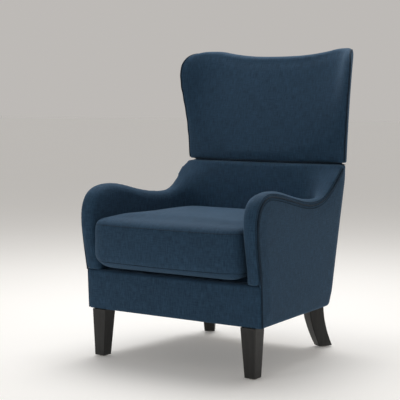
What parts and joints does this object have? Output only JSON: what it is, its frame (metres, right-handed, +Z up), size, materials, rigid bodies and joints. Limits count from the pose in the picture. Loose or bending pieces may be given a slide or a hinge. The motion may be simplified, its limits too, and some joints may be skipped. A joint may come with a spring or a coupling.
{
  "type": "recliner armchair",
  "caption": "Wing-back armchair with swoop arms, loose seat cushion, tapered wooden legs and a split back whose winged upper part reclines on side hinges.",
  "frame": {"origin": "on the floor under the middle of the chair's bounding box", "axes": "+Z up; the chair faces -Y; +X is the sitter's left"},
  "size_m": [0.7244, 0.7583, 1.06],
  "materials": {
    "upholstery": "matte",
    "leg_wood": "satin",
    "frame_wood": "matte",
    "steel": "satin",
    "glide_plastic": "matte",
    "webbing": "matte",
    "lining_cloth": "matte",
    "foam": "matte"
  },
  "bodies": {
    "frame": {"arm_pad_left": "upholstery", "arm_pad_right": "upholstery", "arm_post_left": "frame_wood", "arm_post_right": "frame_wood", "arm_top_rail_left": "frame_wood", "arm_top_rail_right": "frame_wood", "arm_welt_left": "upholstery", "arm_welt_right": "upholstery", "back_post_left": "frame_wood", "back_post_right": "frame_wood", "corner_blocks": "frame_wood", "deck_cloth": "upholstery", "deck_felt": "lining_cloth", "deck_pad": "foam", "dust_cover": "lining_cloth", "front_rail_cover": "upholstery", "front_seat_rail": "frame_wood", "hinge_bolts": "steel", "hinge_fixed_plates": "steel", "hinge_fixed_screws": "steel", "hinge_friction_washers": "glide_plastic", "hinge_lock_nuts": "steel", "leg_front_left": "leg_wood", "leg_front_right": "leg_wood", "leg_glides": "glide_plastic", "leg_hanger_bolts": "steel", "leg_mount_plates": "steel", "leg_plate_screws": "steel", "leg_rear_left": "leg_wood", "leg_rear_right": "leg_wood", "lower_back_bottom_rail": "frame_wood", "lower_back_pad": "upholstery", "lower_back_top_rail": "frame_wood", "lower_back_webbing": "webbing", "lower_rear_panel": "upholstery", "rear_seat_rail": "frame_wood", "seat_springs": "steel", "side_panel_left": "upholstery", "side_panel_right": "upholstery", "side_seat_rail_left": "frame_wood", "side_seat_rail_right": "frame_wood", "split_gusset": "upholstery", "spring_clips": "steel"},
    "upper_back": {"hinge_swing_plates": "steel", "hinge_swing_screws": "steel", "upper_back_bottom_rail": "frame_wood", "upper_back_pad": "upholstery", "upper_back_post_left": "frame_wood", "upper_back_post_right": "frame_wood", "upper_back_top_rail": "frame_wood", "upper_back_webbing": "webbing", "upper_rear_panel": "upholstery", "wing_board_left": "frame_wood", "wing_board_right": "frame_wood", "wing_welt_left": "upholstery", "wing_welt_right": "upholstery"},
    "seat_cushion": {"seat_cushion_core": "foam", "seat_cushion_cover": "upholstery"}
  },
  "joints": [
    {"name": "back_recline", "type": "hinge", "parent": "frame", "child": "upper_back", "pos_m": [0, 0.303, 0.683], "axis": [-1, 0, 0], "range_deg": [0, 30]},
    {"name": "seat_cushion_lift", "type": "slide", "parent": "frame", "child": "seat_cushion", "axis": [0, 0, 1], "range_m": [0, 0.3]}
  ]
}
